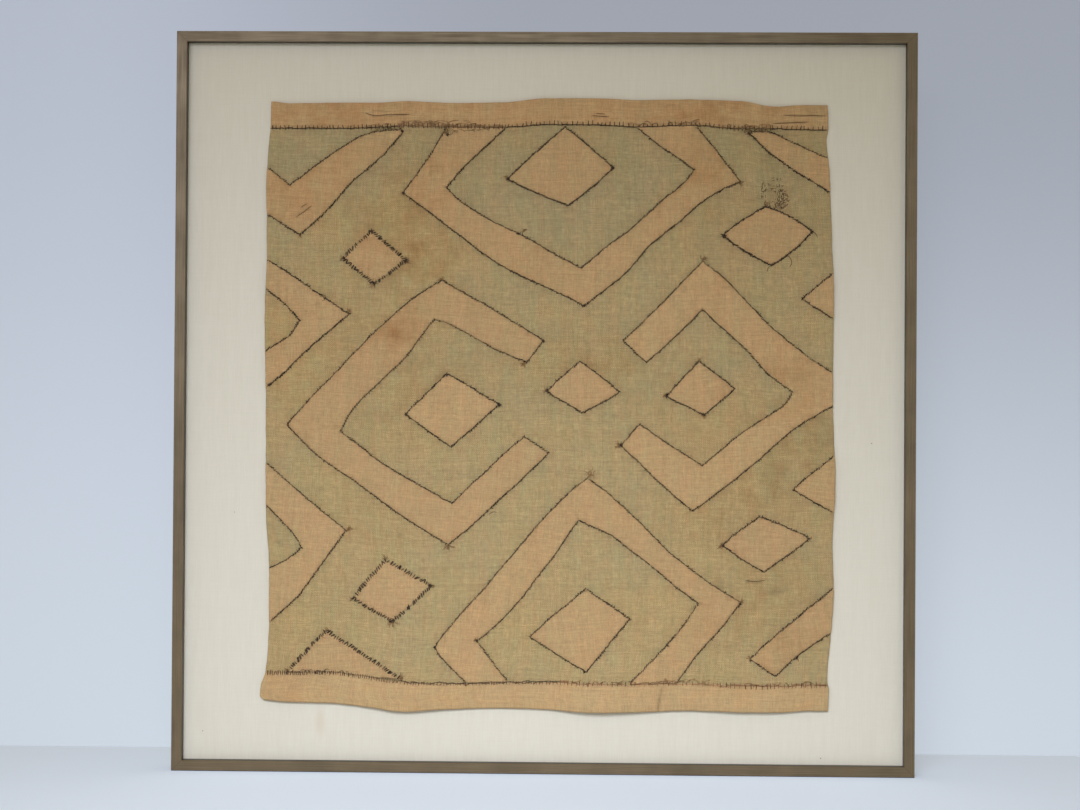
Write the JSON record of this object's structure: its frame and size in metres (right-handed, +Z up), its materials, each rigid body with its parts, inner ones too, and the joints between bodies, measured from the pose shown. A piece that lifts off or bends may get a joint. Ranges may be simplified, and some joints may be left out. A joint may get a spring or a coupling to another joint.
{
  "type": "kuba raffia cloth in a picture frame",
  "caption": "Square narrow picture frame around a linen covered board that carries a worn raffia cloth with applied lozenge and chevron patches and a plain band at its top and bottom.",
  "frame": {"origin": "middle of the frame's base, midway between its front and back", "axes": "+Z up, +X to the right seen from the front, the cloth faces -Y"},
  "size_m": [0.86, 0.038, 0.86],
  "materials": {
    "frame_bronze": "bronze-brown metallic finish on wood, satin, faint lengthwise streaks",
    "linen_cover": "ivory linen, plain weave with slubs, matt",
    "raffia_ground": "dyed raffia, plain weave, khaki green with brown stains, matt",
    "raffia_patch": "raffia, plain weave, peach tan, matt",
    "raffia_band": "raffia, plain weave, golden tan, matt",
    "stitch_thread": "dark brown raffia thread, matt"
  },
  "bodies": {
    "root": {"rail_bottom": "frame_bronze", "rail_left": "frame_bronze", "rail_top": "frame_bronze", "rail_right": "frame_bronze", "mount_board": "linen_cover", "ground_cloth": "raffia_ground", "top_band": "raffia_band", "bottom_band": "raffia_band", "top_left_strip": "raffia_patch", "left_upper_point": "raffia_patch", "left_lower_point": "raffia_patch", "top_vee": "raffia_patch", "top_right_strip": "raffia_patch", "left_ring": "raffia_patch", "right_ring": "raffia_patch", "bottom_vee": "raffia_patch", "bottom_right_strip": "raffia_patch", "upper_left_diamond": "raffia_patch", "top_diamond": "raffia_patch", "upper_right_diamond": "raffia_patch", "left_ring_diamond": "raffia_patch", "centre_diamond": "raffia_patch", "right_ring_diamond": "raffia_patch", "lower_right_diamond": "raffia_patch", "bottom_diamond": "raffia_patch", "lower_left_diamond": "raffia_patch", "right_upper_point": "raffia_patch", "right_lower_point": "raffia_patch", "bottom_left_point": "raffia_patch"}
  },
  "joints": []
}
